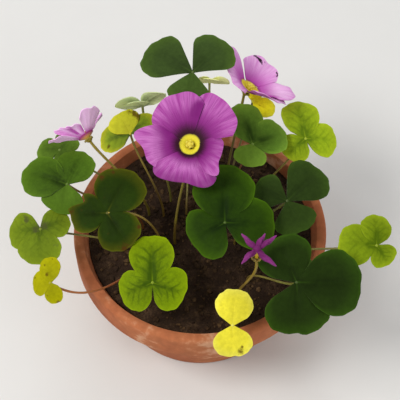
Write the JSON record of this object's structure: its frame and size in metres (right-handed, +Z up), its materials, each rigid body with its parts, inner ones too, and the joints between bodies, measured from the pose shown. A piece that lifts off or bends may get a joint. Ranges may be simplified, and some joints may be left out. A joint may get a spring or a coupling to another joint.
{
  "type": "potted flowering plant",
  "caption": "Low potted wood sorrel with long-stalked leaves of heart-round leaflets, open violet blooms with yellow throats and a closed fading bloom, in a plain clay pot of soil.",
  "frame": {"origin": "middle of the part's box at its base: the centre of the pot's underside, on the surface it stands on", "axes": "+Z up, -Y the front of the plant, towards which the front bloom leans, +X to the right of it"},
  "size_m": [0.1597, 0.1303, 0.1183],
  "materials": {
    "clay": "matt unglazed",
    "soil": "matt crumbly",
    "leaf_deep": "satin",
    "leaf_dark": "satin",
    "leaf_middle": "satin",
    "leaf_light": "satin",
    "leaf_lime": "satin",
    "leaf_yellow": "satin",
    "leaf_pale": "satin",
    "stalk": "satin",
    "petal": "soft satin",
    "petal_fading": "soft satin",
    "stamen": "matt"
  },
  "bodies": {
    "root": {"pot": "clay", "soil": "soil", "leaf_01": "leaf_dark", "leaf_02": "leaf_pale", "leaf_03": "leaf_yellow", "leaf_04": "leaf_middle", "leaf_05": "leaf_middle", "leaf_06": "leaf_dark", "leaf_07": "leaf_light", "leaf_08": "leaf_yellow", "leaf_09": "leaf_lime", "leaf_10": "leaf_dark", "leaf_11": "leaf_deep", "leaf_12": "leaf_deep", "leaf_13": "leaf_lime", "leaf_14": "leaf_middle", "leaf_15": "leaf_lime", "leaf_16": "leaf_yellow", "leaf_17": "leaf_pale", "leaf_18": "leaf_yellow", "leaf_19": "leaf_middle", "leaf_20": "leaf_middle", "bloom_front_scape": "stalk", "bloom_front_corolla": "petal", "bloom_front_stamens": "stamen", "bloom_back_scape": "stalk", "bloom_back_corolla": "petal", "bloom_back_stamens": "stamen", "bloom_left_scape": "stalk", "bloom_left_corolla": "petal", "bloom_left_stamens": "stamen", "bloom_fading_scape": "stalk", "bloom_fading_corolla": "petal_fading"}
  },
  "joints": []
}
